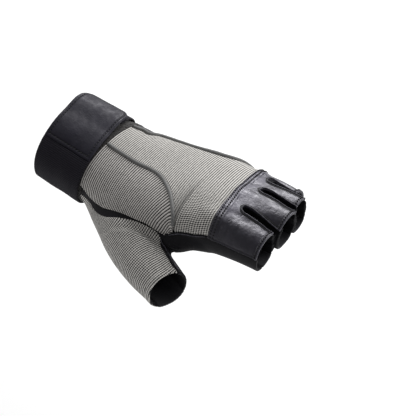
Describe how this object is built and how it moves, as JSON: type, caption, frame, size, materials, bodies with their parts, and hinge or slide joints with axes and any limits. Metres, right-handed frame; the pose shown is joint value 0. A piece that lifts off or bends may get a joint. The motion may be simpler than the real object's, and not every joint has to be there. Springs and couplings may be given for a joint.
{
  "type": "half-finger fitness glove",
  "caption": "Half-finger left-hand fitness glove: ribbed knit back, leather knuckles, black palm, piping and a wrap-around wrist strap.",
  "frame": {"origin": "centre of the wrist opening, at the wrist edge of the strap, where the worn glove begins", "axes": "+Y from the wrist to the fingertips, +X to the thumb side, +Z to the back of the hand; a left-hand glove, palm down"},
  "size_m": [0.1083, 0.1595, 0.0594],
  "materials": {
    "grey_knit": "ribbed knit, matt",
    "grey_cord": "corded piping, matt",
    "dark_leather": "smooth, soft sheen",
    "palm_leather": "suede-like, matt",
    "black_cloth": "stretch cloth, matt",
    "black_elastic": "finely ribbed elastic",
    "loop_cloth": "brushed loop pile"
  },
  "bodies": {
    "root": {"cuff_band": "loop_cloth", "wrist_strap": "black_elastic", "strap_tab": "dark_leather", "back_panel": "grey_knit", "thumb_side_panel": "grey_knit", "inner_piping": "grey_cord", "outer_piping": "grey_cord", "thumb_gusset": "black_cloth", "thumb_panel": "grey_knit", "thumb_inner_panel": "black_cloth", "index_side_panel": "black_cloth", "knuckle_panel": "dark_leather", "fourchette_index_middle": "black_cloth", "fourchette_middle_ring": "black_cloth", "fourchette_ring_little": "black_cloth", "palm_panel": "palm_leather"}
  },
  "joints": []
}
